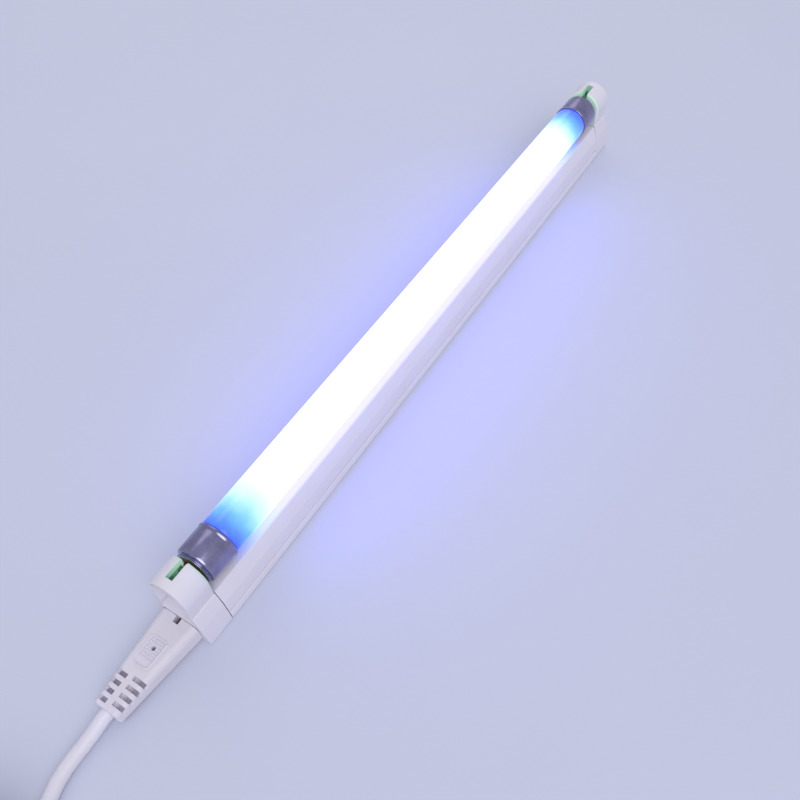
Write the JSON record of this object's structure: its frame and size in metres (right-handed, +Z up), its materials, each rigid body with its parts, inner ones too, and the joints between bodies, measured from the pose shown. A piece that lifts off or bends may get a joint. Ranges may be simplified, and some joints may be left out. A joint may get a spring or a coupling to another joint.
{
  "type": "fluorescent batten light",
  "caption": "Slim plastic batten holding a small T5 fluorescent tube between two twist-lock lampholders, with a plug-in mains lead folded in a tied hank.",
  "frame": {"origin": "under the middle of the fitting, on the surface that its base rests on", "axes": "+X along the lamp, away from the end where the mains lead plugs in; +Z up, from the base to the lamp"},
  "size_m": [0.5793, 0.0404, 0.0329],
  "materials": {
    "white_plastic": "satin moulded polycarbonate",
    "white_pvc": "soft satin",
    "lamp_glass": "phosphor-coated, lit",
    "clear_glass": "clear",
    "lamp_cap_metal": "drawn and slightly brushed",
    "rotor_plastic": "moulded",
    "insulator": "moulded",
    "brass": "bright",
    "nickel": "nickel plated",
    "circuit_board": "phenolic laminate",
    "ferrite": "matt",
    "winding": "varnished wire",
    "capacitor_sleeve": "shrunk sleeve",
    "capacitor_film": "dipped",
    "black_epoxy": "moulded",
    "wire_sleeve": "sleeved wire",
    "cord_tie": "plastic strap"
  },
  "bodies": {
    "fitting": {"housing": "white_plastic", "base_cover": "white_plastic", "near_end_cap": "white_plastic", "far_end_cap": "white_plastic", "near_contact_left": "brass", "near_contact_right": "brass", "far_contact_left": "brass", "far_contact_right": "brass", "ballast_board": "circuit_board", "choke_core": "ferrite", "choke_winding": "winding", "driver_core": "ferrite", "bulk_capacitor": "capacitor_sleeve", "lamp_capacitor": "capacitor_film", "transistor_high": "black_epoxy", "transistor_low": "black_epoxy", "fuse": "nickel", "rectifier": "black_epoxy", "inlet_block": "insulator", "inlet_pin_left": "nickel", "inlet_pin_right": "nickel", "inlet_wire_left": "wire_sleeve", "inlet_wire_right": "wire_sleeve", "near_lamp_wire_left": "wire_sleeve", "near_lamp_wire_right": "wire_sleeve", "far_lamp_wire_left": "wire_sleeve", "far_lamp_wire_right": "wire_sleeve"},
    "lamp": {"glass_tube": "lamp_glass", "near_lamp_cap": "lamp_cap_metal", "far_lamp_cap": "lamp_cap_metal", "near_pin_disc": "insulator", "far_pin_disc": "insulator", "near_lamp_pin_left": "brass", "near_lamp_pin_right": "brass", "far_lamp_pin_left": "brass", "far_lamp_pin_right": "brass", "near_stem": "clear_glass", "far_stem": "clear_glass", "near_filament": "nickel", "far_filament": "nickel"},
    "near_lampholder_rotor": {"near_rotor": "rotor_plastic"},
    "far_lampholder_rotor": {"far_rotor": "rotor_plastic"},
    "mains_lead": {"connector_body": "white_pvc", "connector_sleeve_left": "nickel", "connector_sleeve_right": "nickel", "power_cord": "white_pvc", "cord_hank": "white_pvc", "cord_tie": "cord_tie", "plug_cord": "white_pvc", "mains_plug": "white_pvc", "mains_plug_pin_left": "nickel", "mains_plug_pin_right": "nickel"}
  },
  "joints": [
    {"name": "tube_turn", "type": "hinge", "parent": "fitting", "child": "lamp", "pos_m": [0, 0, 0.0248], "axis": [1, 0, 0], "range_deg": [0, 90]},
    {"name": "near_rotor_turn", "type": "hinge", "parent": "fitting", "child": "near_lampholder_rotor", "pos_m": [-0.1495, 0, 0.0248], "axis": [1, 0, 0], "range_deg": [0, 90]},
    {"name": "far_rotor_turn", "type": "hinge", "parent": "fitting", "child": "far_lampholder_rotor", "pos_m": [0.1495, 0, 0.0248], "axis": [1, 0, 0], "range_deg": [0, 90]},
    {"name": "connector_pull", "type": "slide", "parent": "fitting", "child": "mains_lead", "axis": [-1, 0, 0], "range_m": [0, 0.015]}
  ],
  "couplings": [
    {"joint": "near_rotor_turn", "follows": "tube_turn", "ratio": 1},
    {"joint": "far_rotor_turn", "follows": "tube_turn", "ratio": 1}
  ]
}
